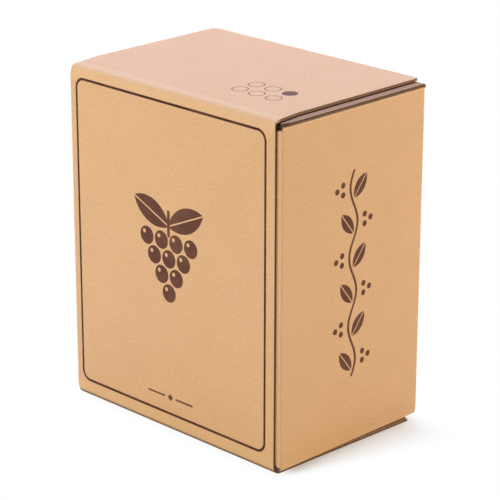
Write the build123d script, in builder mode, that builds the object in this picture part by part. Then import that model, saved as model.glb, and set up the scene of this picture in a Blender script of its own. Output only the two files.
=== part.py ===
# Shipping box of corrugated board for six bottles, closed by full-overlap flaps
# Millimetres. Origin at the middle of the base, X to the right, Y to the back, Z up
import os

from build123d import *

os.makedirs("parts", exist_ok=True)

# Overall size, outside
box_length = 355.0  # left wall to right wall
box_depth = 246.0  # front wall to back wall
box_height = 432.0  # floor to the top of the outer flap

# Board and creases
board = 3.2  # thickness of the board
crease_inside = 1.0  # inside radius of a crease
lid_crease_inside = 4.2  # inside radius of the soft crease under the flap that opens
base_crease_inside = 8.2  # inside radius of the soft crease at the foot of the front wall
seam_crease_outside = 1.6  # outside radius of the hard crease at the glue tab
crease_stub = 1.0  # straight piece of wall that a crease overlaps
crease_gap = 0.3  # running gap in the crease of the flap that opens
half_crease_angle = 45.0  # each piece's half of that crease, degrees
layer_gap = 0.4  # between flaps that lie on each other
lid_gap = 0.8  # between the outer top flap and the flap under it

# Flaps and seam of the blank
seam_setback = 8.5  # cut edge of the front wall, back from the right wall's face
flap_trim = 0.6  # side edge of a flap, in from the wall under it
lid_free_trim = 0.5  # free edge of the outer top flap, in from the back wall
lid_setback = 4.4  # right edge of that flap, in from the front wall's cut edge
lid_shoulder = 34.0  # slant from the crease that brings its right edge in
lid_corner_along = 8.0  # cut at the left end of its crease, along the crease
lid_corner_across = 50.0  # the same cut, away from the crease
inner_top_ease = 2.4  # free edge of the inner top flap, in from the inside of the front wall
inner_base_ease = 6.6  # free edge of the inner base flap, in from the inside of the front wall
base_taper = 8.0  # how far each side of that flap runs in towards its free edge
base_relief_along = 8.0  # cut corner of that flap at its crease, along the crease
base_relief_across = 15.0  # the same cut, away from the crease
outer_base_gap = 16.5  # free edge of the outer base flap, in from the back wall's face
side_flap_length = 110.0  # small flap of a side wall, out from the wall
side_flap_ease = 2.0  # end of a side wall's flap, in from the inside of the wall beside it
tab_width = 34.0  # glue tab behind the front wall
tab_taper = 14.0  # slant at each end of the tab
overrun = 1.0  # how far a cut passes the face that it leaves

# Insert
cells_along = 3
cells_across = 2
tray_clearance = 1.2  # between a tray and the walls, more than the inside radius of a crease
tray_height = 62.0  # height of a tray's legs
bottle_hole = 84.0  # diameter that takes a bottle's body
neck_hole = 38.0  # diameter that takes a bottle's neck
slot_clearance = 0.4  # how much wider a slot is than the board in it
slot_end_gap = 0.3  # between the ends of two slots that meet
divider_corner = 10.0  # corner radius of a divider

# Faces and middle planes of the boards
crease_outside = crease_inside + board
crease_middle = crease_inside + board / 2
lid_crease_outside = lid_crease_inside + board
lid_crease_middle = lid_crease_inside + board / 2
base_crease_outside = base_crease_inside + board
base_crease_middle = base_crease_inside + board / 2
right = box_length / 2
left = -right
back = box_depth / 2
front = -back
front_mid = front + board / 2
back_mid = back - board / 2
side_mid = right - board / 2
tab_mid = front_mid + board
seam = right - seam_setback
outer_base_mid = board / 2
inner_base_mid = outer_base_mid + board + layer_gap
side_base_mid = inner_base_mid + board + layer_gap
lid_mid = box_height - board / 2
inner_top_mid = lid_mid - board - lid_gap
side_top_mid = inner_top_mid - board - layer_gap

# Ends of the flat walls, where the creases start
wall_low = side_base_mid + crease_middle
wall_high = side_top_mid - crease_middle
back_low = inner_base_mid + crease_middle
back_high = inner_top_mid - crease_middle
lid_crease_y = front + lid_crease_outside
lid_crease_z = box_height - lid_crease_outside
half_gap_angle = Vector(lid_crease_middle, crease_gap / 2).get_angle(Vector(1, 0))
lid_crease_angle = half_crease_angle - half_gap_angle


def board_section(plane, points, radius=crease_middle):
    # Section of a board that follows a middle line, with a rounded crease at each corner
    with BuildSketch(plane) as section:
        with BuildLine():
            FilletPolyline(*points, radius=radius)
        trace(line_width=board)
    return section.sketch


# The folded blank, apart from the flap that opens
front_plane = Plane.YZ.offset(left + crease_outside)
front_length = seam - left - crease_outside
flap_plane = Plane.YZ.offset(left + flap_trim)
flap_length = box_length - 2 * flap_trim
side_flap_width = box_depth - 2 * board - 2 * side_flap_ease
side_plane = Plane.XZ.offset(-side_flap_width / 2)

with BuildPart() as carton:
    # Walls in a ring, from the front wall's cut edge round to the hard crease of the glue tab
    with BuildSketch(Plane.XY.offset(wall_low)) as ring:
        with BuildLine():
            FilletPolyline(
                (seam, front_mid),
                (-side_mid, front_mid),
                (-side_mid, back_mid),
                (side_mid, back_mid),
                (side_mid, front + board),
                radius=crease_middle,
            )
        trace(line_width=board)
        with Locations((right, tab_mid)):
            Rectangle(crease_outside + crease_stub, board, align=(Align.MAX, Align.CENTER))
        seam_corner = ring.vertices().sort_by_distance((right, front + board))[0]
        fillet(seam_corner, radius=seam_crease_outside)
    extrude(amount=wall_high - wall_low)

    # Glue tab, flat against the inside of the front wall
    with BuildSketch(Plane.XZ.offset(-front - board)):
        tab_root = right - crease_outside
        tab_end = tab_root - tab_width
        with BuildLine():
            Polyline(
                (tab_root, wall_low),
                (tab_end, wall_low + tab_taper),
                (tab_end, wall_high - tab_taper),
                (tab_root, wall_high),
                close=True,
            )
        make_face()
    extrude(amount=-board)

    # Front wall with its soft crease, then the outer base flap, which widens to its free edge
    base_wide = right - flap_trim
    outer_root = front + base_crease_outside
    outer_base_line = (
        (front_mid, lid_crease_z),
        (front_mid, outer_base_mid),
        (outer_root + crease_stub, outer_base_mid),
    )
    extrude(board_section(front_plane, outer_base_line, base_crease_middle), amount=front_length)
    with BuildSketch(Plane.XY):
        with BuildLine():
            Polyline(
                (left + crease_outside, outer_root),
                (left + crease_outside, back - outer_base_gap),
                (base_wide, back - outer_base_gap),
                (seam, outer_root),
                close=True,
            )
        make_face()
    extrude(amount=board)

    # Lower half of the crease that carries the flap that opens
    with BuildSketch(front_plane):
        with BuildLine():
            CenterArc((lid_crease_y, lid_crease_z), lid_crease_middle, 180, -lid_crease_angle)
        trace(line_width=board)
    extrude(amount=front_length)

    # Back wall up and down to its creases
    with BuildSketch(Plane.XZ.offset(-back)):
        with Locations((0, (back_low + back_high) / 2)):
            Rectangle(box_length - 2 * crease_outside, back_high - back_low)
    extrude(amount=board)

    # Inner top flap
    inner_top_line = (
        (back_mid, back_high - crease_stub),
        (back_mid, inner_top_mid),
        (front + board + inner_top_ease, inner_top_mid),
    )
    extrude(board_section(flap_plane, inner_top_line), amount=flap_length)

    # Inner base flap: its crease, then the flap with cut corners and its sides running in
    base_narrow = base_wide - base_relief_along
    base_free = base_wide - base_taper
    base_root = back - crease_outside - crease_stub
    base_step = base_root - base_relief_across
    base_end = front + board + inner_base_ease
    inner_base_line = (
        (back_mid, back_low + crease_stub),
        (back_mid, inner_base_mid),
        (base_root, inner_base_mid),
    )
    base_plane = Plane.YZ.offset(-base_narrow)
    extrude(board_section(base_plane, inner_base_line), amount=2 * base_narrow)
    with BuildSketch(Plane.XY.offset(inner_base_mid - board / 2)):
        with BuildLine():
            Polyline(
                (-base_narrow, base_root),
                (-base_narrow, base_step),
                (-base_wide, base_step),
                (-base_free, base_end),
                (base_free, base_end),
                (base_wide, base_step),
                (base_narrow, base_step),
                (base_narrow, base_root),
                close=True,
            )
        make_face()
    extrude(amount=board)

    # Small flaps of the side walls, at the base and at the top
    for side in (-1, 1):
        for level, start in (
            (side_base_mid, wall_low + crease_stub),
            (side_top_mid, wall_high - crease_stub),
        ):
            side_flap_line = (
                (side * side_mid, start),
                (side * side_mid, level),
                (side * (right - side_flap_length), level),
            )
            extrude(board_section(side_plane, side_flap_line), amount=side_flap_width)
carton.part.label = "carton"
export_step(carton.part, "parts/carton.step")

# The flap that is the top face and opens on the front wall
with BuildPart() as outer_top_flap:
    with BuildSketch(flap_plane):
        with BuildLine():
            half_crease = CenterArc((lid_crease_y, lid_crease_z), lid_crease_middle, 90, lid_crease_angle)
            Line(half_crease @ 0, (back - lid_free_trim, lid_mid))
        trace(line_width=board)
    extrude(amount=seam - left - flap_trim)
    with BuildSketch(Plane.XY.offset(box_height + overrun)):
        with BuildLine():
            Polyline(
                (left, front),
                (left + lid_corner_along, front),
                (left, front + lid_corner_across),
                close=True,
            )
        make_face()
        with BuildLine():
            Polyline(
                (seam, lid_crease_y),
                (seam - lid_setback, lid_crease_y + lid_shoulder),
                (seam - lid_setback, back),
                (seam, back),
                close=True,
            )
        make_face()
    extrude(amount=-2 * lid_crease_outside, mode=Mode.SUBTRACT)
outer_top_flap.part.label = "outer_top_flap"
export_step(outer_top_flap.part, "parts/outer_top_flap.step")

# Trays: a plate with a hole for each bottle, on legs along the front and the back
tray_length = box_length - 2 * board - 2 * tray_clearance
tray_depth = box_depth - 4 * board - 2 * tray_clearance
leg_mid = tray_depth / 2 - board / 2
cell_length = tray_length / cells_along
cell_depth = tray_depth / cells_across
tray_floor = side_base_mid + board / 2
tray_ceiling = side_top_mid - board / 2
lower_plate_mid = tray_floor + tray_height - board / 2
upper_plate_mid = tray_ceiling - tray_height + board / 2


def tray_section(plate_mid, leg_end):
    # Section of a tray: leg, plate and leg in one folded board
    tray_line = (
        (-leg_mid, leg_end),
        (-leg_mid, plate_mid),
        (leg_mid, plate_mid),
        (leg_mid, leg_end),
    )
    return board_section(Plane.YZ.offset(-tray_length / 2), tray_line)


with BuildPart() as lower_tray:
    extrude(tray_section(lower_plate_mid, tray_floor), amount=tray_length)
    with BuildSketch(Plane.XY.offset(lower_plate_mid - board)):
        with GridLocations(cell_length, cell_depth, cells_along, cells_across):
            Circle(bottle_hole / 2)
    extrude(amount=2 * board, mode=Mode.SUBTRACT)
lower_tray.part.label = "lower_tray"
export_step(lower_tray.part, "parts/lower_tray.step")

with BuildPart() as upper_tray:
    extrude(tray_section(upper_plate_mid, tray_ceiling), amount=tray_length)
    with BuildSketch(Plane.XY.offset(upper_plate_mid - board)):
        with GridLocations(cell_length, cell_depth, cells_along, cells_across):
            Circle(neck_hole / 2)
    extrude(amount=2 * board, mode=Mode.SUBTRACT)
upper_tray.part.label = "upper_tray"
export_step(upper_tray.part, "parts/upper_tray.step")

# Dividers: they stand on the lower tray, reach the upper one and cross in half slots
divider_low = lower_plate_mid + board / 2
divider_height = upper_plate_mid - board / 2 - divider_low
divider_mid = divider_low + divider_height / 2
slot_width = board + slot_clearance
slot_height = divider_height / 2 + slot_end_gap
upper_slot_mid = divider_low + divider_height - slot_height / 2
lower_slot_mid = divider_low + slot_height / 2

with BuildPart() as long_divider:
    with BuildSketch(Plane.XZ.offset(-board / 2)):
        with Locations((0, divider_mid)):
            RectangleRounded(tray_length, divider_height, divider_corner)
        with Locations((0, upper_slot_mid)):
            with GridLocations(cell_length, 0, cells_along - 1, 1):
                Rectangle(slot_width, slot_height, mode=Mode.SUBTRACT)
    extrude(amount=board)
long_divider.part.label = "long_divider"
export_step(long_divider.part, "parts/long_divider.step")

for name, side in (("left_divider", -1), ("right_divider", 1)):
    with BuildPart() as cross_divider:
        with BuildSketch(Plane.YZ.offset(side * cell_length / 2 - board / 2)):
            with Locations((0, divider_mid)):
                RectangleRounded(tray_depth, divider_height, divider_corner)
            with Locations((0, lower_slot_mid)):
                Rectangle(slot_width, slot_height, mode=Mode.SUBTRACT)
        extrude(amount=board)
    cross_divider.part.label = name
    export_step(cross_divider.part, f"parts/{name}.step")
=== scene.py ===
import math

import bpy
import numpy as np
from mathutils import Matrix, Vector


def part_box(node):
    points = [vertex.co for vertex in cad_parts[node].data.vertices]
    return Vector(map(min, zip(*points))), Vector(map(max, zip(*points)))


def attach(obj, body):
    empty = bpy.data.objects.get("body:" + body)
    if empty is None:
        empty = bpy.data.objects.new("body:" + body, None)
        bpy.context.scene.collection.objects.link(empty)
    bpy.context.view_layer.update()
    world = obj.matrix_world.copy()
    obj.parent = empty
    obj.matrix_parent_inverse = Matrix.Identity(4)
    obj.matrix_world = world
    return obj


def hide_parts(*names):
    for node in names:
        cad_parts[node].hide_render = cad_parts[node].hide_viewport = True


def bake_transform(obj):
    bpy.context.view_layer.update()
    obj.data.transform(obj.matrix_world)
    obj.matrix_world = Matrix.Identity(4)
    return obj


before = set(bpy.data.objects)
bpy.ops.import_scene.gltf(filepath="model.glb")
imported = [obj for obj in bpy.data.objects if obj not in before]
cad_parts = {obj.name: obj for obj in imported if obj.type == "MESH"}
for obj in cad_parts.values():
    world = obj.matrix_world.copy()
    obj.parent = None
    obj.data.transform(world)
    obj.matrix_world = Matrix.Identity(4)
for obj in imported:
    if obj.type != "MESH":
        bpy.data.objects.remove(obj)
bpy.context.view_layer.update()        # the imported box: carton, outer top flap and the insert
mm = 0.001
print("frame loaded:", len(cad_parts), "nodes")

# The sheet that the box is folded from, metres
board = {
    "thickness": 3.2 * mm,
    "liner": 0.40 * mm,          # each of the two outer papers
    "medium": 0.34 * mm,         # the fluted paper between them
    "crushDepth": 0.7 * mm,      # how far in the flutes are closed by crushed paper
    "fluteLean": -1.1 * mm,      # how far a crushed flute leans along the board
    "flutePitch": 6.07 * mm,
    "fluteSteps": 12,            # straight pieces in one flute
    "creaseInside": 1.0 * mm,
    "lidCreaseInside": 4.2 * mm,     # soft crease under the lid
    "baseCreaseInside": 8.2 * mm,    # soft crease at the foot of the front wall
    "seamRadius": 1.6 * mm,          # outside of the hard crease at the glue tab
    "hardRadius": 1.4 * mm,          # outside of the creases of the side flaps
    "layerGap": 0.4 * mm,        # between flaps that lie on each other
    "lidGap": 0.8 * mm,          # between the lid and the flap under it
    "runStep": 12.0 * mm,        # spacing of stations on a flat run
    "creaseSteps": 14,           # stations round a crease
    "wearShare": 0.9,            # how far a crease's wear spreads, in lengths of the crease
    "lineSteps": 4000,           # points on a fold line
    "stationDigits": 7,          # digits to which stations are told apart
    "sharpAngle": 40.0,          # degrees between faces that meet in a sharp edge
}
halfBoard = board["thickness"] / 2
creaseMiddle = board["creaseInside"] + halfBoard
creaseOutside = board["creaseInside"] + board["thickness"]
lidCreaseMiddle = board["lidCreaseInside"] + halfBoard
lidCreaseLength = lidCreaseMiddle * math.pi / 2
lidCreaseOutside = board["lidCreaseInside"] + board["thickness"]
baseCreaseMiddle = board["baseCreaseInside"] + halfBoard

# Faces and edges of the box, read from the frame
cartonLow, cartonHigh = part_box("carton")
lidLow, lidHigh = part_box("outer_top_flap")
leftFace, frontFace = cartonLow[0], cartonLow[1]
rightFace, backFace = cartonHigh[0], cartonHigh[1]
lidTop = lidHigh[2]
seamEdge = lidHigh[0]            # cut edge of the front wall and of the lid's crease
frontMid = frontFace + halfBoard
backMid = backFace - halfBoard
sideMid = rightFace - halfBoard
frontInside = frontFace + board["thickness"]     # also the outer face of the glue tab
layerStep = board["thickness"] + board["layerGap"]
outerBaseMid = halfBoard
innerBaseMid = outerBaseMid + layerStep
sideBaseMid = innerBaseMid + layerStep
lidMid = lidTop - halfBoard
innerTopMid = lidMid - board["thickness"] - board["lidGap"]
sideTopMid = innerTopMid - layerStep
wallLow = sideBaseMid + creaseMiddle
wallHigh = sideTopMid - creaseMiddle
lidCreaseY = frontFace + lidCreaseOutside
lidCreaseZ = lidTop - lidCreaseOutside
axesFrontBack = (0, 1, 2)        # across X, folded in Y and Z
axesSides = (1, 0, 2)            # across Y, folded in X and Z
axesUpright = (2, 0, 1)          # across Z, folded in X and Y


def foldLine(points, radius):
    # Middle line of a folded board. Its heading is constant on a run and turns evenly round each
    # crease, and the place is the running sum of the heading along the length.
    corners = np.array(points, float)
    legs = np.diff(corners, axis=0)
    heading = np.unwrap(np.arctan2(legs[:, 1], legs[:, 0]))
    turn = np.abs(np.diff(heading))
    setback = radius * np.tan(turn / 2)
    runs = np.hypot(legs[:, 0], legs[:, 1]) - np.append(0, setback) - np.append(setback, 0)
    lengths = np.zeros(2 * len(heading) - 1)
    lengths[0::2] = runs
    lengths[1::2] = radius * turn
    knots = np.append(0, np.cumsum(lengths))
    fine = np.unique(np.append(np.linspace(0, knots[-1], board["lineSteps"]), knots))
    angle = np.interp(fine, knots, np.repeat(heading, 2))
    middle = (angle[1:] + angle[:-1]) / 2
    steps = np.diff(fine)[:, None] * np.stack((np.cos(middle), np.sin(middle)), axis=1)
    place = corners[0] + np.vstack((np.zeros(2), np.cumsum(steps, axis=0)))
    creases = list(zip(knots[1:-1:2], knots[2::2]))
    return {"along": fine, "place": place, "angle": angle, "knots": knots, "creases": creases,
            "origin": 0.0}


def lineStations(line, extra=()):
    # Lengths along the line at which a liner has points: evenly spaced on runs, close round creases.
    knots = line["knots"]
    spans = [np.array(extra, float)]
    for number, (start, end) in enumerate(zip(knots[:-1], knots[1:])):
        count = board["creaseSteps"] if number % 2 else max(1, int((end - start) / board["runStep"]))
        spans.append(np.linspace(start, end, count + 1))
    stations = np.unique(np.round(np.concatenate(spans), board["stationDigits"]))
    return stations[(stations >= 0) & (stations <= knots[-1] + 10.0 ** -board["stationDigits"])]


def creaseWear(line, along):
    # One on the middle of a crease, falling off as a bell curve with the distance along the board.
    starts, ends = np.array(line["creases"]).reshape(-1, 2).T
    away = (along[:, None] - (starts + ends)[None, :] / 2) / (board["wearShare"] * (ends - starts))[None, :]
    return np.exp(-away ** 2).max(axis=1, initial=0)


def sheetShell(line, along, sides, ends, axes, materials):
    # Closed sheet: the middle line moved sideways by each of the two offsets, and carried straight
    # across from the low end to the high end. Offsets and ends may change along the line. The three
    # materials are those of the first side, of the second side and of the cut edges.
    count = len(along)
    angle = np.interp(along, line["along"], line["angle"])
    place = np.stack([np.interp(along, line["along"], line["place"][:, k]) for k in (0, 1)], axis=1)
    normal = np.stack((-np.sin(angle), np.cos(angle)), axis=1)
    across = np.stack([np.broadcast_to(np.asarray(end, float), count) for end in ends], axis=1)
    points = np.empty((count, 2, 2, 3))      # station, side, end, coordinate
    for side in (0, 1):
        offset = np.broadcast_to(np.asarray(sides[side], float), count)[:, None]
        moved = place + normal * offset
        points[:, side, :, axes[0]] = across
        points[:, side, :, axes[1]] = moved[:, :1]
        points[:, side, :, axes[2]] = moved[:, 1:]
    index = np.arange(count * 4).reshape(count, 2, 2)
    here, after = index[:-1], index[1:]

    def quads(*corners):
        return np.stack([np.ravel(corner) for corner in corners], axis=1)

    groups = (
        quads(here[:, 0, 0], after[:, 0, 0], after[:, 0, 1], here[:, 0, 1]),
        quads(here[:, 1, 1], after[:, 1, 1], after[:, 1, 0], here[:, 1, 0]),
        quads(here[:, 1, 0], after[:, 1, 0], after[:, 0, 0], here[:, 0, 0]),
        quads(here[:, 0, 1], after[:, 0, 1], after[:, 1, 1], here[:, 1, 1]),
        quads(index[0, 0, 0], index[0, 0, 1], index[0, 1, 1], index[0, 1, 0]),
        quads(index[-1, 0, 1], index[-1, 0, 0], index[-1, 1, 0], index[-1, 1, 1]),
    )
    faces = np.concatenate(groups)
    kinds = np.repeat((*materials[:2], *[materials[2]] * 4), [len(group) for group in groups])
    flat = points.reshape(-1, 3)
    a, b, c, d = (flat[faces[:, k]] for k in range(4))
    volume = (np.cross(a, b) * c).sum() + (np.cross(a, c) * d).sum()
    if volume < 0:
        faces = faces[:, ::-1]
    sheet = np.zeros((count, 2, 2, 3))
    sheet[..., 0] = across[:, None, :]
    sheet[..., 1] = (along + line["origin"])[:, None, None]
    if axes == axesUpright:          # the flutes run round the box, so an upright strip lies across
        sheet[..., 0], sheet[..., 1] = (line["place"][0, 1] - along)[:, None, None], across[:, None, :]
    wear = np.repeat(creaseWear(line, along), 4)
    return {"points": flat, "faces": faces, "sheet": sheet.reshape(-1, 3), "wear": wear,
            "material": kinds}


def corrugated(line, endsAt, axes, extra=()):
    # Two liners and the fluted paper between them. The flutes are a cosine of the length along the
    # board, leaning over by a share of their own height, and run straight across it, so each cut
    # across them shows the wave. A little way in from each cut the flutes are closed.
    liner, medium, pitch = board["liner"], board["medium"], board["flutePitch"]
    along = lineStations(line, extra)
    count = int(line["knots"][-1] / pitch * board["fluteSteps"])
    wavy = np.unique(np.append(np.linspace(0, line["knots"][-1], count), extra))
    wave = np.cos(2 * np.pi * wavy / pitch)
    swing = (halfBoard - liner - medium / 2) * wave
    leaning = np.clip(wavy + board["fluteLean"] * wave, 0, line["knots"][-1])
    low, high = (np.broadcast_to(np.asarray(end, float), len(along)) for end in endsAt(along))
    depth = board["crushDepth"]
    space = (-halfBoard + liner, halfBoard - liner)
    return [
        sheetShell(line, along, space, (low + depth, low + 2 * depth), axes, (1, 1, 1)),
        sheetShell(line, along, space, (high - 2 * depth, high - depth), axes, (1, 1, 1)),
        sheetShell(line, along, (-halfBoard, -halfBoard + liner), endsAt(along), axes, (0, 1, 2)),
        sheetShell(line, along, (halfBoard - liner, halfBoard), endsAt(along), axes, (1, 0, 2)),
        sheetShell(line, leaning, (swing - medium / 2, swing + medium / 2), endsAt(leaning), axes, (1, 1, 2)),
    ]


def addObject(name, data):
    thing = bpy.data.objects.new(name, data)
    bpy.context.scene.collection.objects.link(thing)
    return thing


def addPiece(name, shells, materials):
    # Puts the shells into one mesh with the sheet's own coordinates and wear as attributes.
    starts = np.cumsum([0] + [len(shell["points"]) for shell in shells[:-1]])
    points = np.concatenate([shell["points"] for shell in shells])
    faces = np.concatenate([shell["faces"] + start for shell, start in zip(shells, starts)])
    mesh = bpy.data.meshes.new(name)
    mesh.from_pydata(points.tolist(), [], faces.tolist())
    for material in materials:
        mesh.materials.append(material)
    mesh.polygons.foreach_set("material_index", np.concatenate([shell["material"] for shell in shells]))
    mesh.polygons.foreach_set("use_smooth", np.ones(len(faces), bool))
    sheet = mesh.attributes.new("sheet", "FLOAT_VECTOR", "POINT")
    sheet.data.foreach_set("vector", np.concatenate([shell["sheet"] for shell in shells]).ravel())
    wear = mesh.attributes.new("creaseWear", "FLOAT", "POINT")
    wear.data.foreach_set("value", np.concatenate([shell["wear"] for shell in shells]))
    mesh.set_sharp_from_angle(angle=math.radians(board["sharpAngle"]))
    return addObject(name, mesh)


def addNode(tree, kind, **settings):
    node = tree.nodes.new(kind)
    for name, value in settings.items():
        setattr(node, name, value)
    return node


def feed(tree, socket, value):
    # A link from a socket, or a setting from a number or colour.
    if isinstance(value, bpy.types.NodeSocket):
        tree.links.new(value, socket)
    else:
        socket.default_value = value


def give(tree, node, **values):
    for name, value in values.items():
        feed(tree, node.inputs[name], value)


def calc(tree, operation, *values):
    # One Math node on numbers or sockets.
    node = addNode(tree, "ShaderNodeMath", operation=operation)
    for socket, value in zip(node.inputs, values):
        feed(tree, socket, value)
    return node.outputs[0]


def folded(tree, operation, values):
    # The same operation with each further value in turn.
    total = values[0]
    for value in values[1:]:
        total = calc(tree, operation, total, value)
    return total


def plus(tree, *values):
    return folded(tree, "ADD", values)


def times(tree, *values):
    return folded(tree, "MULTIPLY", values)


def most(tree, *values):
    return folded(tree, "MAXIMUM", values)


def least(tree, *values):
    return folded(tree, "MINIMUM", values)


def less(tree, first, second):
    return calc(tree, "SUBTRACT", first, second)


def absolute(tree, value):
    return calc(tree, "ABSOLUTE", value)


def above(tree, value, limit):
    return calc(tree, "GREATER_THAN", value, limit)


def below(tree, value, limit):
    return calc(tree, "LESS_THAN", value, limit)


def within(tree, value, low, high):
    # One between two values, zero outside them.
    return times(tree, above(tree, value, low), below(tree, value, high))


def hypot(tree, first, second):
    # Square root of the sum of two squares.
    return calc(tree, "SQRT", plus(tree, times(tree, first, first), times(tree, second, second)))


def ramp(tree, value, low, high, start=0.0, end=1.0):
    # Smooth step from start to end while the value goes from low to high.
    node = addNode(tree, "ShaderNodeMapRange", interpolation_type="SMOOTHSTEP")
    amounts = {"Value": value, "From Min": low, "From Max": high, "To Min": start, "To Max": end}
    for name, amount in amounts.items():
        feed(tree, node.inputs[name], amount)
    return node.outputs["Result"]


def mixColor(tree, factor, first, second):
    node = addNode(tree, "ShaderNodeMix", data_type="RGBA")
    give(tree, node, Factor=factor, A=first, B=second)
    return node.outputs["Result"]


def noise(tree, vector, scale, detail, roughness):
    node = addNode(tree, "ShaderNodeTexNoise")
    give(tree, node, Vector=vector, Scale=scale, Detail=detail, Roughness=roughness)
    return node.outputs["Fac"]


def stretched(tree, vector, scale):
    node = addNode(tree, "ShaderNodeMapping")
    give(tree, node, Vector=vector, Scale=scale)
    return node.outputs["Vector"]


def parts(tree, vector):
    # The three coordinates of a place.
    split = addNode(tree, "ShaderNodeSeparateXYZ")
    tree.links.new(vector, split.inputs[0])
    return split.outputs


def objectPlace(tree):
    return addNode(tree, "ShaderNodeTexCoord").outputs["Object"]


def attribute(tree, name):
    return addNode(tree, "ShaderNodeAttribute", attribute_name=name, attribute_type="GEOMETRY").outputs


def newGroup(name, inputs, outputs):
    # Empty node group. All its outputs are numbers.
    tree = bpy.data.node_groups.new(name, "ShaderNodeTree")
    for label, kind in inputs.items():
        tree.interface.new_socket(name=label, in_out="INPUT", socket_type=kind)
    for label in outputs:
        tree.interface.new_socket(name=label, in_out="OUTPUT", socket_type="NodeSocketFloat")
    return tree, addNode(tree, "NodeGroupInput"), addNode(tree, "NodeGroupOutput")


def placeGroup(tree, group, **values):
    node = addNode(tree, "ShaderNodeGroup", node_tree=group)
    give(tree, node, **values)
    return node.outputs


def newMaterial(name):
    material = bpy.data.materials.new(name)
    material.use_nodes = True
    tree = material.node_tree
    return material, tree, tree.nodes["Principled BSDF"]


# Kraft paper: faint clouds, long fibres, grain and dark flecks. A noise is scale, detail and roughness
fibre = {
    "cloud": (13.0, 4.0, 0.6), "cloudShare": 0.14,
    "threads": (1.0, 3.0, 0.65), "threadStretch": (1500.0, 330.0, 700.0), "threadShare": 0.35,
    "grain": (360.0, 3.0, 0.6), "grainShare": 0.51, "grainHeight": 0.6,
    "fleckStretch": (520.0, 300.0, 400.0), "fleckReach": (0.13, 0.26),
    "fleckPatches": (60.0, 2.0, 0.5), "fleckOnset": (0.5, 0.62),
}


def kraftGroup():
    # Tone: clouds, threads and grain in their shares. Fleck: spots round the points of a cell pattern,
    # in patches. Height: threads and grain.
    tree, source, out = newGroup("kraft_fibre", {"Sheet": "NodeSocketVector"}, ("Tone", "Fleck", "Height"))
    sheet = source.outputs["Sheet"]
    cloud = noise(tree, sheet, *fibre["cloud"])
    threads = noise(tree, stretched(tree, sheet, fibre["threadStretch"]), *fibre["threads"])
    grain = noise(tree, sheet, *fibre["grain"])
    fine = plus(tree, times(tree, threads, fibre["threadShare"]), times(tree, grain, fibre["grainShare"]))
    tone = plus(tree, times(tree, cloud, fibre["cloudShare"]), fine)
    cells = addNode(tree, "ShaderNodeTexVoronoi", feature="F1")
    give(tree, cells, Vector=stretched(tree, sheet, fibre["fleckStretch"]), Scale=1.0)
    spots = ramp(tree, cells.outputs["Distance"], *fibre["fleckReach"], 1.0, 0.0)
    patches = ramp(tree, noise(tree, sheet, *fibre["fleckPatches"]), *fibre["fleckOnset"])
    height = plus(tree, threads, times(tree, grain, fibre["grainHeight"]))
    give(tree, out, Tone=tone, Fleck=times(tree, spots, patches), Height=height)
    return tree


# Ink from a flat printing plate
plate = {
    "ragged": (900.0, 3.0, 0.5), "raggedDepth": 0.7 * mm, "softEdge": 0.16 * mm,
    "voids": (1300.0, 2.0, 0.5), "voidRange": (0.6, 0.78), "voidInk": 0.84,
    "patches": (45.0, 3.0, 0.5), "patchRange": (0.3, 0.7), "patchInk": 0.95,
}


def inkGroup():
    # The distance to the shape's edge, in metres, becomes a mask with a slightly ragged edge and small
    # pale voids in the solid.
    inputs = {"Distance": "NodeSocketFloat", "Sheet": "NodeSocketVector"}
    tree, source, out = newGroup("plate_ink", inputs, ("Ink",))
    sheet = source.outputs["Sheet"]
    ragged = times(tree, less(tree, noise(tree, sheet, *plate["ragged"]), 0.5), plate["raggedDepth"])
    edge = plus(tree, source.outputs["Distance"], ragged)
    mask = ramp(tree, edge, -plate["softEdge"], plate["softEdge"], 1.0, 0.0)
    voids = ramp(tree, noise(tree, sheet, *plate["voids"]), *plate["voidRange"], 1.0, plate["voidInk"])
    patches = ramp(tree, noise(tree, sheet, *plate["patches"]), *plate["patchRange"], plate["patchInk"], 1.0)
    give(tree, out, Ink=times(tree, mask, times(tree, voids, patches)))
    return tree


# Print of the front wall, in its own width and height, metres from the frame's origin
frontPrint = {
    "lineLeft": -164.2 * mm, "lineRight": 154.4 * mm, "lineLow": 24.7 * mm, "lineHigh": 416.3 * mm,
    "lineWidth": 3.3 * mm, "lineCorner": 12.5 * mm,
    "berryPitch": 25.0 * mm, "berryRadius": 11.4 * mm, "berryRows": 4, "berryTop": 246.0 * mm,
    "glintRadius": 2.5 * mm, "glintShift": 4.4 * mm,
    "stemWidth": 4.6 * mm, "stemLength": 34.0 * mm,
    "leafLength": 66.0 * mm, "leafWidth": 31.0 * mm, "leafTilt": 24.0, "veinWidth": 1.8 * mm,
    "leafHeight": 14.0 * mm,     # root of the leaves, up from the foot of the stem
    "leafReachShare": 0.96,      # middle of a leaf out from its root, in half lengths
    "ruleHeight": 46.0 * mm, "ruleLength": 30.0 * mm, "ruleWidth": 2.4 * mm, "ruleGap": 9.0 * mm,
    "lozenge": 4.643 * mm,       # middle to corner
    "endShare": 0.98,            # rounding of the stem's and rules' ends, in half widths
}
# Print of the right wall: an upright vine, in depth and height
sidePrint = {
    "middle": 0.0, "low": 92.0 * mm, "halfWave": 43.0 * mm, "waves": 6,
    "swing": 6.5 * mm, "stemWidth": 3.6 * mm,
    "leafOut": 17.0 * mm, "leafLength": 34.0 * mm, "leafWidth": 16.5 * mm, "leafTilt": 128.0,
    "veinWidth": 1.3 * mm,
    "berryOut": 19.0 * mm, "berryRadius": 3.7 * mm,
    "berryPlaces": ((0.0, -5.89 * mm), (0.0, 5.89 * mm), (10.013 * mm, 0.0)),
}
# Print of the lid: a small block of rings, one of them filled
lidPrint = {
    "middleX": 78.0 * mm, "middleY": -46.0 * mm, "pitch": 27.0 * mm, "columns": 3, "rows": 2,
    "ringRadius": 9.6 * mm, "ringWidth": 1.3 * mm,
}
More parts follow.
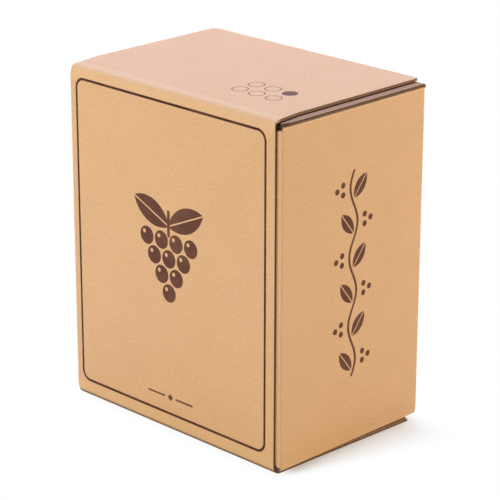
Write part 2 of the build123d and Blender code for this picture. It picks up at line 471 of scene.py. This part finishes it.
# Depth of the faces that carry print, and the distance given elsewhere
printPlace = {"skin": 0.3 * mm, "far": 1.0}


def disc(tree, u, v, centre, radius):
    # Distance to a disc's edge: the distance to its centre, less its radius.
    return less(tree, hypot(tree, less(tree, u, centre[0]), less(tree, v, centre[1])), radius)


def leaf(tree, u, v, centre, length, width, tilt, vein):
    # Pointed leaf: where two discs overlap, less a thin vein on its long axis.
    halfLength, halfWidth = length / 2, width / 2
    radius = (halfLength ** 2 + halfWidth ** 2) / (2 * halfWidth)
    normal = np.array((-math.sin(math.radians(tilt)), math.cos(math.radians(tilt))))
    across = normal * (radius - halfWidth)
    body = most(tree, disc(tree, u, v, np.add(centre, across), radius),
                disc(tree, u, v, np.subtract(centre, across), radius))
    side = plus(tree, times(tree, less(tree, u, centre[0]), normal[0]),
                times(tree, less(tree, v, centre[1]), normal[1]))
    return most(tree, body, less(tree, vein / 2, absolute(tree, side)))


def roundedBox(tree, u, v, centre, half, radius):
    # Distance to a rounded rectangle: the length of what is outside its inner rectangle, less the radius.
    du, dv = (less(tree, absolute(tree, less(tree, value, middle)), reach - radius)
              for value, middle, reach in zip((u, v), centre, half))
    outside = hypot(tree, most(tree, du, 0.0), most(tree, dv, 0.0))
    inside = least(tree, most(tree, du, dv), 0.0)
    return less(tree, plus(tree, outside, inside), radius)


def frontField(tree, x, z):
    # Border line, a bunch of berries with two leaves, and a small rule below it.
    p = frontPrint
    middle = (p["lineLeft"] + p["lineRight"]) / 2
    half = ((p["lineRight"] - p["lineLeft"]) / 2, (p["lineHigh"] - p["lineLow"]) / 2)
    rim = roundedBox(tree, x, z, (middle, (p["lineHigh"] + p["lineLow"]) / 2), half, p["lineCorner"])
    border = less(tree, absolute(tree, rim), p["lineWidth"] / 2)
    berries, glints = [], []
    for row in range(p["berryRows"]):
        inRow = p["berryRows"] - row
        height = p["berryTop"] - row * p["berryPitch"] * math.sqrt(3) / 2
        for number in range(inRow):
            centre = (middle + (number - (inRow - 1) / 2) * p["berryPitch"], height)
            berries.append(disc(tree, x, z, centre, p["berryRadius"]))
            glint = (centre[0] - p["glintShift"], centre[1] + p["glintShift"])
            glints.append(disc(tree, x, z, glint, p["glintRadius"]))
    bunch = most(tree, least(tree, *berries), times(tree, least(tree, *glints), -1.0))
    stemLow = p["berryTop"] + p["berryRadius"] / 2
    stemHalf = (p["stemWidth"] / 2, p["stemLength"] / 2)
    fields = [border, bunch,
              roundedBox(tree, x, z, (middle, stemLow + stemHalf[1]), stemHalf, stemHalf[0] * p["endShare"])]
    reach, tilt = p["leafLength"] / 2 * p["leafReachShare"], math.radians(p["leafTilt"])
    leafZ = stemLow + p["leafHeight"] + reach * math.sin(tilt)
    ruleHalf = (p["ruleLength"] / 2, p["ruleWidth"] / 2)
    for side in (-1, 1):
        leafX = middle + side * reach * math.cos(tilt)
        fields.append(leaf(tree, x, z, (leafX, leafZ), p["leafLength"], p["leafWidth"],
                           side * p["leafTilt"], p["veinWidth"]))
        rule = (middle + side * (p["ruleGap"] + ruleHalf[0]), p["ruleHeight"])
        fields.append(roundedBox(tree, x, z, rule, ruleHalf, ruleHalf[1] * p["endShare"]))
    sideways, upward = absolute(tree, less(tree, x, middle)), absolute(tree, less(tree, z, p["ruleHeight"]))
    fields.append(less(tree, plus(tree, sideways, upward), p["lozenge"]))
    return least(tree, *fields), border


def sideField(tree, y, z):
    # Vine: a sine stem, and in each half wave a leaf on one side and three berries on the other.
    p = sidePrint
    run = less(tree, z, p["low"])
    cell = calc(tree, "FLOOR", calc(tree, "DIVIDE", run, p["halfWave"]))
    local = less(tree, run, times(tree, cell, p["halfWave"]))
    flip = less(tree, 1.0, times(tree, calc(tree, "FLOORED_MODULO", cell, 2.0), 2.0))
    side = times(tree, less(tree, y, p["middle"]), flip)
    wave = times(tree, calc(tree, "SINE", times(tree, local, math.pi / p["halfWave"])), p["swing"])
    stem = less(tree, absolute(tree, less(tree, side, wave)), p["stemWidth"] / 2)
    half = p["halfWave"] / 2
    fields = [stem, leaf(tree, side, local, (p["swing"] - p["leafOut"], half), p["leafLength"],
                         p["leafWidth"], p["leafTilt"], p["veinWidth"])]
    for out, up in p["berryPlaces"]:
        fields.append(disc(tree, side, local, (p["berryOut"] + out, half + up), p["berryRadius"]))
    top = p["low"] + p["halfWave"] * p["waves"]
    clip = most(tree, less(tree, p["low"], z), less(tree, z, top))
    return most(tree, least(tree, *fields), clip)


def lidField(tree, x, y):
    # Rings on a small grid, the last one a full disc.
    p = lidPrint
    fields = []
    for number in range(p["columns"] * p["rows"]):
        row, column = divmod(number, p["columns"])
        centre = (p["middleX"] + (column - (p["columns"] - 1) / 2) * p["pitch"],
                  p["middleY"] + (row - (p["rows"] - 1) / 2) * p["pitch"])
        dot = disc(tree, x, y, centre, p["ringRadius"])
        fields.append(less(tree, absolute(tree, dot), p["ringWidth"] / 2))
    fields[-1] = dot
    return least(tree, *fields)


def printGroup():
    # Distance to the nearest printed edge, on the outer faces of the front wall, right wall and lid only,
    # and one where that edge is the border line's.
    tree, source, out = newGroup("box_print", {"Place": "NodeSocketVector"}, ("Distance", "Border"))
    x, y, z = parts(tree, source.outputs["Place"])
    skin = printPlace["skin"]
    front, border = frontField(tree, x, z)
    fields = []
    for field, depth in (
        (front, less(tree, y, frontFace + skin)),
        (sideField(tree, y, z), less(tree, rightFace - skin, x)),
        (lidField(tree, x, y), less(tree, lidTop - skin, z)),
    ):
        hidden = times(tree, above(tree, depth, 0.0), printPlace["far"])
        fields.append(plus(tree, field, hidden))
    give(tree, out, Distance=least(tree, *fields), Border=below(tree, border, frontPrint["lineWidth"]))
    return tree


# Cut of the lid, the flap that is the top face. The painted shadow under its edge follows it
lidSheet = {
    "cornerAlong": 8.0 * mm, "cornerAcross": 50.0 * mm,      # slant at the left end of its crease
    "setback": 4.4 * mm, "shoulder": 34.0 * mm,      # its right edge runs in by one over the other
    "backCut": 6.5 * mm,                             # worn back left corner
}

# Painted shade: shares of a dark shade colour mixed into the paper and the cut edges where shade falls, and
# where each reaches
paintedShade = {
    "strip": 0.54, "hatch": 0.13, "stripReach": (-2.5 * mm, -1.0 * mm),      # flap beside the lid's edge
    "gap": 1.0, "gapReach": (1.6 * mm, 4.4 * mm),        # dark line along that edge
    "crease": 0.7, "creaseDepth": 1.4 * mm,              # crease of the side flap below
    "foot": 0.72, "footReach": (6.3 * mm, 8.8 * mm),     # foot of the front wall
    "hole": 0.985, "holeDepth": 20.0 * mm,               # hole at the near top corner
    "holeLeft": 3.0 * mm, "holeRight": 3.4 * mm,         # its sides, out from the seam
    "sideDepth": 2.0 * mm,                               # depth of the right wall's own face
    "seam": 0.6, "seamReach": (-0.6 * mm, 0.4 * mm), "seamDepth": 2.0 * mm,  # cut edge of the front wall
    "flapEdge": 0.58, "baseEdge": 0.4,                   # cut edges of the inner top flap and at the base
    "skin": 0.3 * mm,
}


def paintedShadeGroup():
    # Painted shade. Paper: the strip of the inner top flap that the lid leaves bare, darkest along the lid's
    # edge as a painted shadow line, the crease below it, and the foot of the front wall. Edges: the cuts of
    # the inner top flap, the front
    # wall and the base flaps. Both: the hole at the near top corner.
    tree, source, out = newGroup("box_painted_shade", {"Place": "NodeSocketVector"}, ("Paper", "Edges"))
    x, y, z = parts(tree, source.outputs["Place"])
    s, skin = paintedShade, paintedShade["skin"]
    flapTop, flapLow = innerTopMid + halfBoard, innerTopMid - halfBoard
    creaseTop = sideTopMid + halfBoard
    sideStart, holeStart = rightFace - s["sideDepth"], seamEdge - s["holeLeft"]
    run = calc(tree, "DIVIDE", less(tree, y, lidCreaseY), lidSheet["shoulder"])
    run = least(tree, most(tree, run, 0.0), 1.0)
    beyond = less(tree, x, less(tree, seamEdge, times(tree, run, lidSheet["setback"])))
    # stripes at the flute pitch in that painted shade
    hatch = calc(tree, "COSINE", times(tree, y, 2 * math.pi / board["flutePitch"]))
    clear = plus(tree, times(tree, hatch, s["hatch"]), s["strip"])
    # painted shade of the lid on the bare strip of the flap, with a painted shadow line along the lid's edge
    strip = times(tree, ramp(tree, beyond, *s["stripReach"]),
                  ramp(tree, beyond, *s["gapReach"], s["gap"], clear),
                  within(tree, z, flapTop - skin, flapTop + skin))
    # painted shade on the crease of the side flap just under the inner top flap
    crease = times(tree, ramp(tree, z, creaseTop - s["creaseDepth"], creaseTop - skin, 0.0, s["crease"]),
                   below(tree, z, creaseTop + board["layerGap"] / 2), above(tree, x, sideStart))
    # painted shade under the rounded foot of the front wall
    foot = times(tree, ramp(tree, z, *s["footReach"], s["foot"], 0.0),
                 below(tree, y, frontFace + baseCreaseMiddle + halfBoard))
    # painted shade filling the hole at the near top corner
    low = times(tree, within(tree, x, holeStart, sideStart),
                within(tree, z, wallHigh + skin, creaseTop + skin))
    high = times(tree, within(tree, x, holeStart, seamEdge + s["holeRight"]),
                 within(tree, z, creaseTop + skin, flapTop))
    deep = within(tree, y, frontFace - skin, frontInside + s["holeDepth"])
    hole = times(tree, most(tree, low, high), deep, s["hole"])
    behind = times(tree, hole, above(tree, y, frontInside - skin))
    # painted shade on the cut edges of the inner top flap under the lid
    flapEdge = times(tree, within(tree, z, flapLow - skin, flapTop - skin), s["flapEdge"],
                     above(tree, x, seamEdge))
    # painted shade on the cut edge of the front wall at the seam
    seamStart, seamFull = (frontMid + reach for reach in s["seamReach"])
    seam = times(tree, ramp(tree, y, seamStart, seamFull, 0.0, s["seam"]),
                 within(tree, x, seamEdge - s["seamDepth"], seamEdge + skin), below(tree, y, frontInside))
    # painted shade on the cut edges and flutes of the base layers
    baseEdge = times(tree, below(tree, z, innerBaseMid + halfBoard + skin), s["baseEdge"])
    give(tree, out, Paper=most(tree, strip, crease, foot, behind),
         Edges=most(tree, hole, flapEdge, seam, baseEdge))
    return tree


kraftFibre = kraftGroup()
plateInk = inkGroup()
boxPrint = printGroup()
boxPaintedShade = paintedShadeGroup()
print("node groups:", kraftFibre.name, plateInk.name, boxPrint.name, boxPaintedShade.name)

# Outer paper of the board. Ranges are of the tone, the wear or a noise
kraft = {
    "dark": (0.706, 0.413, 0.202, 1), "pale": (0.798, 0.487, 0.255, 1), "toneRange": (0.37, 0.63),
    "fleckDark": (0.42, 0.235, 0.115, 1), "fleckShare": 0.35,
    "worn": (0.86, 0.59, 0.31, 1), "wornShare": 0.32, "wearRange": (0.05, 0.5),
    "rubbing": (110.0, 4.0, 0.7), "rubbingRange": (0.3, 0.75), "rubbingLeast": 0.7,
    "ink": (0.118, 0.041, 0.024, 1), "lineInk": (0.066, 0.015, 0.011, 1),
    "rough": (0.62, 0.50), "roughRange": (0.3, 0.7), "inkSmooth": 0.08, "specular": 0.12,
    "washHeight": 0.000035, "fibreHeight": 0.00005,
    # dark colour of the painted shade
    "paintedShadeColour": (0.060, 0.022, 0.008, 1),
}
# Papers without print: the flutes and inner faces, the cut edges, and the insert
rawKraft = {
    "toneRange": (0.34, 0.66),
    "fluted_paper": {"dark": (0.28, 0.150, 0.085, 1), "pale": (0.40, 0.225, 0.135, 1), "rough": (0.85, 0.7)},
    "cut_paper": {"dark": (0.52, 0.300, 0.185, 1), "pale": (0.68, 0.420, 0.270, 1), "rough": (0.85, 0.7)},
    "plain_kraft": {"dark": (0.57, 0.33, 0.165, 1), "pale": (0.74, 0.46, 0.24, 1), "rough": (0.72, 0.6)},
}


def withPaintedShade(tree, colour, place, output):
    # Painted shade: a dark shade colour mixed into a colour by one of the two shares of painted shade.
    return mixColor(tree, placeGroup(tree, boxPaintedShade, Place=place)[output], colour, kraft["paintedShadeColour"])


def flecked(tree, colour, paper):
    return mixColor(tree, times(tree, paper["Fleck"], kraft["fleckShare"]), colour, kraft["fleckDark"])


def bumpy(tree, shader, height, distance):
    bump = addNode(tree, "ShaderNodeBump")
    give(tree, bump, Strength=1.0, Distance=distance, Height=height)
    give(tree, shader, Normal=bump.outputs["Normal"])


def printedBoard():
    # Kraft paper, rubbed pale on its creases, darkened by painted shade, then printed. The bump is the faint
    # wave of the flutes under it and the fibres.
    material, tree, shader = newMaterial("printed_kraft")
    sheet, place = attribute(tree, "sheet")["Vector"], objectPlace(tree)
    paper = placeGroup(tree, kraftFibre, Sheet=sheet)
    tone = ramp(tree, paper["Tone"], *kraft["toneRange"])
    colour = flecked(tree, mixColor(tree, tone, kraft["dark"], kraft["pale"]), paper)
    wear = ramp(tree, attribute(tree, "creaseWear")["Fac"], *kraft["wearRange"], 0.0, kraft["wornShare"])
    patchy = ramp(tree, noise(tree, sheet, *kraft["rubbing"]), *kraft["rubbingRange"])
    rubbed = times(tree, wear, ramp(tree, patchy, 0.0, 1.0, kraft["rubbingLeast"], 1.0))
    # painted shade mixed into the paper
    colour = withPaintedShade(tree, mixColor(tree, rubbed, colour, kraft["worn"]), place, "Paper")
    field = placeGroup(tree, boxPrint, Place=place)
    ink = placeGroup(tree, plateInk, Distance=field["Distance"], Sheet=place)["Ink"]
    inkColour = mixColor(tree, field["Border"], kraft["ink"], kraft["lineInk"])
    tree.links.new(mixColor(tree, ink, colour, inkColour), shader.inputs["Base Color"])
    shader.inputs["Specular IOR Level"].default_value = kraft["specular"]
    rough = ramp(tree, paper["Tone"], *kraft["roughRange"], *kraft["rough"])
    give(tree, shader, Roughness=less(tree, rough, times(tree, ink, kraft["inkSmooth"])))
    wash = calc(tree, "COSINE", times(tree, parts(tree, sheet)["Y"], 2 * math.pi / board["flutePitch"]))
    height = plus(tree, times(tree, wash, kraft["washHeight"]),
                  times(tree, paper["Height"], kraft["fibreHeight"]))
    bumpy(tree, shader, height, 1.0)
    return material


def barePaper(tree, shader, paint, sheet):
    # Colour and roughness of a paper without print, both from the tone of its fibres.
    paper = placeGroup(tree, kraftFibre, Sheet=sheet)
    rough = ramp(tree, paper["Tone"], *kraft["roughRange"], *paint["rough"])
    give(tree, shader, Roughness=rough)
    tone = ramp(tree, paper["Tone"], *rawKraft["toneRange"])
    return paper, mixColor(tree, tone, paint["dark"], paint["pale"])


def rawPaper(name):
    # The fluted paper and the liners' inner faces, or the cut edges, darkened by painted shade where the
    # Edges share reaches.
    material, tree, shader = newMaterial(name)
    paper, colour = barePaper(tree, shader, rawKraft[name], attribute(tree, "sheet")["Vector"])
    tree.links.new(withPaintedShade(tree, colour, objectPlace(tree), "Edges"), shader.inputs["Base Color"])
    return material


def plainBoard(name):
    # Board of the insert, which keeps its own solids and so has no coordinates of a sheet.
    material, tree, shader = newMaterial(name)
    paper, colour = barePaper(tree, shader, rawKraft[name], objectPlace(tree))
    tree.links.new(flecked(tree, colour, paper), shader.inputs["Base Color"])
    bumpy(tree, shader, paper["Height"], kraft["fibreHeight"])
    return material


boardPapers = [printedBoard(), rawPaper("fluted_paper"), rawPaper("cut_paper")]
plainKraft = plainBoard("plain_kraft")
print("materials:", *(paper.name for paper in boardPapers), plainKraft.name)

# The folded blank
cartonSheet = {
    "flapTrim": 0.6 * mm,            # side edge of a flap, in from the wall under it
    "innerTopEase": 2.4 * mm,        # free edges of the two inner flaps, in from the front wall
    "innerBaseEase": 6.6 * mm,
    "outerBaseGap": 16.5 * mm,       # free edge of the outer base flap, in from the back face
    "baseTaper": 8.0 * mm,           # how far the sides of the inner base flap run in
    "reliefAlong": 8.0 * mm, "reliefAcross": 15.0 * mm,      # notches at the root of that flap
    "topCutAlong": 4.0 * mm, "topCutAcross": 14.0 * mm,      # cut corners of the inner top flap
    "sideFlapLength": 110.0 * mm, "sideFlapEase": 2.0 * mm,
    "tabWidth": 34.0 * mm, "tabTaper": 14.0 * mm,            # glue tab
    "seamLeg": 2.0 * mm, "seamCore": 1.4 * mm,       # board before the tab's crease, and what is left in it
    "stub": 1.0 * mm,                # flat board kept beside a crease
    "edgeStep": 0.2 * mm,            # length in which a side edge jumps
}


def stepped(places, values):
    # Straight lines between places along the board, held level outside them.
    return lambda along: np.interp(along, places, values)


def frontStrip():
    # Front wall and outer base flap: down from the lid's crease, then back under the box. The right edge
    # is straight at the seam and runs out to the flap's trim along the flap.
    c = cartonSheet
    free = backFace - c["outerBaseGap"]
    line = foldLine([(frontMid, lidCreaseZ), (frontMid, outerBaseMid), (free, outerBaseMid)],
                    baseCreaseMiddle)
    line["creases"].append((-lidCreaseLength, 0))        # the lid's crease wears it too
    right = stepped(line["knots"][2:], (seamEdge, rightFace - c["flapTrim"]))
    return corrugated(line, lambda along: (leftFace + creaseOutside, right(along)), axesFrontBack)


def backStrip():
    # Inner top flap, back wall and inner base flap: three runs, whose half width goes in straight pieces
    # from the flap to the wall, to the notches and along the taper of the base flap.
    c = cartonSheet
    topFree, baseFree = frontInside + c["innerTopEase"], frontInside + c["innerBaseEase"]
    line = foldLine([(topFree, innerTopMid), (backMid, innerTopMid), (backMid, innerBaseMid),
                     (baseFree, innerBaseMid)], creaseMiddle)
    knots = line["knots"]
    wide = rightFace - c["flapTrim"]
    narrow = wide - c["reliefAlong"]
    wallHalf = rightFace - creaseOutside
    wallStart, wallEnd = knots[2] + c["stub"], knots[3] - c["stub"]
    reliefEnd = knots[4] + c["stub"] + c["reliefAcross"]
    places = (0, c["topCutAcross"], wallStart, wallStart + c["edgeStep"], wallEnd - c["edgeStep"], wallEnd,
              reliefEnd - c["edgeStep"], reliefEnd, knots[-1])
    half = stepped(places, (wide - c["topCutAlong"], wide, wide, wallHalf, wallHalf, narrow,
                            narrow, wide, wide - c["baseTaper"]))
    return corrugated(line, lambda along: (-half(along), half(along)), axesFrontBack, places[1:-1])


def sideLine(side, depth, radius):
    # Fold line of a side wall and its two flaps, at a depth outwards from the middle of the board.
    free, wall = side * (rightFace - cartonSheet["sideFlapLength"]), side * (sideMid + depth)
    low, high = sideBaseMid - depth, sideTopMid + depth
    return foldLine([(free, low), (wall, low), (wall, high), (free, high)], radius)


def sideStrip(side):
    # The flutes and the inner liner turn on a soft radius, the outer liner on a hard one. The side edges
    # jump from the flaps to the wall.
    c, step = cartonSheet, cartonSheet["edgeStep"]
    flapEnd = backFace - board["thickness"] - c["sideFlapEase"]
    wallFront = frontInside + board["seamRadius"] + c["seamLeg"] if side > 0 else frontFace + creaseOutside
    wallBack = backFace - creaseOutside
    core = sideLine(side, 0, creaseMiddle)
    knots = core["knots"]
    places = (knots[2], knots[2] + step, knots[3] - step, knots[3])
    low = stepped(places, (-flapEnd, wallFront, wallFront, -flapEnd))
    high = stepped(places, (flapEnd, wallBack, wallBack, flapEnd))
    inner = corrugated(core, lambda along: (low(along), high(along)), axesSides, places)
    skin = sideLine(side, halfBoard, board["hardRadius"])
    knots = skin["knots"]
    wallStart = knots[2] + wallLow - (sideBaseMid - halfBoard + board["hardRadius"])
    wallEnd = wallStart + wallHigh - wallLow
    skin["origin"] = wallLow - wallStart
    places = (knots[1], knots[1] + step, wallStart - step, wallStart,
              wallEnd, wallEnd + step, knots[4] - step, knots[4])
    creaseFront = min(wallFront, frontInside + step)
    fronts = stepped(places, (-flapEnd, creaseFront, creaseFront, wallFront,
                              wallFront, creaseFront, creaseFront, -flapEnd))
    backs = stepped(places, (flapEnd, *[wallBack] * (len(places) - 2), flapEnd))
    along = lineStations(skin, places)
    sides, papers = ((0, board["liner"]), (0, 1, 2)) if side > 0 else ((-board["liner"], 0), (1, 0, 2))
    outer = sheetShell(skin, along, sides, (fronts(along), backs(along)), axesSides, papers)
    return [outer] + inner[:2] + [inner[3 if side > 0 else 2], inner[4]]


def uprightCrease(start, corner, end):
    # The board round an upright corner, a quarter turn. The back ones reach up to the crease of the inner
    # top flap.
    line = foldLine([start, corner, end], creaseMiddle)
    high = wallHigh if corner[1] < 0 else innerTopMid - creaseMiddle - cartonSheet["stub"]
    sides, ends = (-halfBoard, halfBoard), (wallLow, high)
    return [sheetShell(line, lineStations(line), sides, ends, axesUpright, (0, 0, 2))]


def seamTab():
    # Hard crease and glue tab: the line is the outer face, and the board's depth under it thins to a
    # core round the crease, so that the two legs meet on the mitre.
    c = cartonSheet
    tip = rightFace - creaseOutside - c["tabWidth"]
    top = frontInside + board["seamRadius"] + c["seamLeg"]
    line = foldLine([(rightFace, top), (rightFace, frontInside), (tip, frontInside)], board["seamRadius"])
    knots = line["knots"]
    line["creases"] = []             # not rubbed, unlike the other creases
    full = board["thickness"] - c["seamCore"]
    rootAt = knots[-1] - c["tabWidth"]
    along = lineStations(line, (knots[1] - full, knots[2] + full, rootAt))
    depth = np.interp(along, (knots[1] - full, knots[1], knots[2], knots[2] + full),
                      (board["thickness"], c["seamCore"], c["seamCore"], board["thickness"]))
    inset = np.interp(along, (rootAt, knots[-1]), (0, c["tabTaper"]))
    return [sheetShell(line, along, (-depth, 0), (wallLow + inset, wallHigh - inset), axesUpright, (0, 0, 2))]


def cornerAt(sideX, faceY):
    # Middle line round one upright corner: along the front or back wall, then along the side wall.
    inX, inY = sideX - math.copysign(creaseMiddle, sideX), faceY - math.copysign(creaseMiddle, faceY)
    return (inX, faceY), (sideX, faceY), (sideX, inY)


shells = frontStrip() + backStrip() + sideStrip(-1) + sideStrip(1) + seamTab()
for sideX, faceY in ((-sideMid, frontMid), (-sideMid, backMid), (sideMid, backMid)):
    shells += uprightCrease(*cornerAt(sideX, faceY))
cartonBoard = addPiece("carton_board", shells, boardPapers)
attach(cartonBoard, "carton")
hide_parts("carton")
print("carton:", len(cartonBoard.data.polygons), "faces")


def lidLeftEdge(y):
    # Left edge of the lid, cut on a slant towards its crease and at its worn back corner.
    slant = leftFace + lidSheet["cornerAlong"] * (1 - (y - frontFace) / lidSheet["cornerAcross"])
    return np.maximum(np.maximum(lidLow[0], slant), leftFace + y - (lidHigh[1] - lidSheet["backCut"]))


def lidStrip():
    # The lid: one flat run from the end of its crease to the back, whose right edge runs in at first.
    p = lidSheet
    line = foldLine([(lidCreaseY, lidMid), (lidHigh[1], lidMid)], lidCreaseMiddle)
    line["creases"].append((-lidCreaseLength, 0))        # its crease is a piece of its own
    right = stepped((0, p["shoulder"]), (seamEdge, seamEdge - p["setback"]))
    bends = (p["shoulder"], p["cornerAcross"] - lidCreaseOutside, lidHigh[1] - p["backCut"] - lidCreaseY)
    return corrugated(line, lambda along: (lidLeftEdge(lidCreaseY + along), right(along)),
                      axesFrontBack, bends)


def creaseStrip():
    # The board round the lid's crease: a quarter turn from the front wall to the lid, pressed solid by
    # the score, so that it bends without showing its flutes.
    line = foldLine([(frontMid, lidCreaseZ), (frontMid, lidMid), (lidCreaseY, lidMid)], lidCreaseMiddle)
    along = lineStations(line)
    y = np.interp(along, line["along"], line["place"][:, 0])
    left = np.interp(y, (frontMid, lidCreaseY), (leftFace + creaseOutside, lidLeftEdge(lidCreaseY)))
    return [sheetShell(line, along, (-halfBoard, halfBoard), (left, seamEdge), axesFrontBack, (0, 0, 2))]


lidBoard = addPiece("lid_board", lidStrip(), boardPapers)
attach(lidBoard, "outer_top_flap")
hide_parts("outer_top_flap")
lidCrease = addPiece("lid_crease", creaseStrip(), boardPapers)
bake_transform(lidCrease)
print("lid:", len(lidBoard.data.polygons), "faces")

# The insert keeps its own solids
for node in ("lower_tray", "upper_tray", "long_divider", "left_divider", "right_divider"):
    solid = bpy.data.objects[node]
    solid.data.materials.clear()
    solid.data.materials.append(plainKraft)

# Floor, light and camera
studio = {
    "floorSize": 8.0, "floorWhite": (0.9, 0.88, 0.83, 1),
    "contact": 0.06, "contactReach": 0.006,      # thin shade all round the foot
    "shade": 0.75,                               # wedge of shade beside the right wall
    "shadeReach": 0.007, "shadeSpread": 0.34,    # its width at the front, and what it gains towards the back
    "shadeFull": -0.35,                          # where it is full, in its own widths out from the wall
    "shadeStart": 0.04, "shadeEnd": 0.015,       # lengths in which its ends fade
    "surround": (1, 1, 1, 1), "ambient": 0.15,
}
lamps = {
    "key": {"place": (-1.2, -2.6, 1.5), "size": 1.7, "power": 57.0, "colour": (1.0, 0.99, 0.865)},
    "fill": {"place": (2.0, 1.8, 1.4), "size": 1.7, "power": 45.0, "colour": (1.0, 0.9, 0.695)},
    "side": {"place": (2.6, -0.9, 0.8), "size": 1.7, "power": 10.5, "colour": (1.0, 0.9, 0.695)},
    "over": {"place": (-0.9, 0.7, 2.6), "size": 2.2, "power": 99.0, "colour": (0.414, 0.517, 1.0)},
}
view = {
    "place": (1.80257, -1.81203, 1.12653), "azimuth": 44.713, "elevation": 19.805, "roll": 0.102,
    "lens": 159.95, "sensor": 36.0,
}


def seenDirectly(tree):
    # One for the camera, for mirrors and through glass, zero for the light that falls on the box.
    path = addNode(tree, "ShaderNodeLightPath").outputs
    return most(tree, path["Is Camera Ray"], path["Is Glossy Ray"], path["Is Transmission Ray"])


def floorMaterial():
    # White where it is seen directly, less a contact shade round the box and a wedge of shade that widens
    # in proportion to the depth behind the front face.
    material, tree, shader = newMaterial("studio_floor")
    shader.inputs["Base Color"].default_value = studio["floorWhite"]
    shader.inputs["Roughness"].default_value = 1.0
    shader.inputs["Specular IOR Level"].default_value = 0.0
    x, y = parts(tree, objectPlace(tree))[:2]
    away = roundedBox(tree, x, y, (0.0, 0.0), (rightFace, backFace), 0.0)
    contact = ramp(tree, away, 0.0, studio["contactReach"], studio["contact"], 0.0)
    back, out = less(tree, y, frontFace), less(tree, x, rightFace)
    narrowest, fade = studio["shadeReach"], studio["shadeStart"]
    reach = most(tree, plus(tree, times(tree, back, studio["shadeSpread"]), narrowest), narrowest)
    wedge = times(tree, ramp(tree, out, times(tree, reach, studio["shadeFull"]), reach, studio["shade"], 0.0),
                  ramp(tree, back, 0.0, fade),
                  ramp(tree, y, backFace - fade, backFace + studio["shadeEnd"], 1.0, 0.0),
                  ramp(tree, out, -2 * narrowest, -narrowest))
    share = less(tree, 1.0, most(tree, contact, wedge))
    glow = addNode(tree, "ShaderNodeEmission")
    glow.inputs["Strength"].default_value = 1.0
    both = addNode(tree, "ShaderNodeMixShader")
    tree.links.new(times(tree, share, seenDirectly(tree)), both.inputs[0])
    tree.links.new(shader.outputs[0], both.inputs[1])
    tree.links.new(glow.outputs[0], both.inputs[2])
    tree.links.new(both.outputs[0], tree.nodes["Material Output"].inputs["Surface"])
    return material


def facing(place, backward, sideways):
    # Place and turn of a lamp or camera, from where its back and its right side point.
    turn = np.stack((sideways, np.cross(backward, sideways), backward), axis=1)
    return Matrix.Translation(place) @ Matrix(turn.tolist()).to_4x4()


half = studio["floorSize"] / 2
corners = [(-half, -half, 0), (half, -half, 0), (half, half, 0), (-half, half, 0)]
floorMesh = bpy.data.meshes.new("floor")
floorMesh.from_pydata(corners, [], [(0, 1, 2, 3)])
floorMesh.materials.append(floorMaterial())
floor = addObject("floor", floorMesh)

world = bpy.data.worlds.new("studio")
bpy.context.scene.world = world
world.use_nodes = True
worldTree = world.node_tree
background = worldTree.nodes["Background"]
strength = ramp(worldTree, seenDirectly(worldTree), 0.0, 1.0, studio["ambient"], 1.0)
worldTree.links.new(strength, background.inputs["Strength"])
background.inputs["Color"].default_value = studio["surround"]

aim = np.array((0.0, 0.0, lidTop / 2))
for name, lamp in lamps.items():
    light = bpy.data.lights.new(name, "AREA")
    light.size = lamp["size"]
    light.energy = lamp["power"]
    light.color = lamp["colour"]
    backward = np.array(lamp["place"]) - aim
    backward /= np.linalg.norm(backward)
    sideways = np.cross((0, 0, 1), backward)
    sideways /= np.linalg.norm(sideways)
    addObject(name, light).matrix_world = facing(lamp["place"], backward, sideways)

azimuth, elevation, roll = (math.radians(view[name]) for name in ("azimuth", "elevation", "roll"))
outward = np.array((math.sin(azimuth), -math.cos(azimuth), 0))
backward = math.cos(elevation) * outward + np.array((0, 0, math.sin(elevation)))
level = np.array((math.cos(azimuth), math.sin(azimuth), 0))
sideways = math.cos(roll) * level + math.sin(roll) * np.cross(backward, level)
cameraData = bpy.data.cameras.new("camera")
cameraData.lens = view["lens"]
cameraData.sensor_width = view["sensor"]
camera = addObject("camera", cameraData)
camera.matrix_world = facing(view["place"], backward, sideways)
bpy.context.scene.camera = camera
bpy.context.scene.view_settings.view_transform = "Standard"
print("studio: floor,", len(lamps), "lamps and the camera")
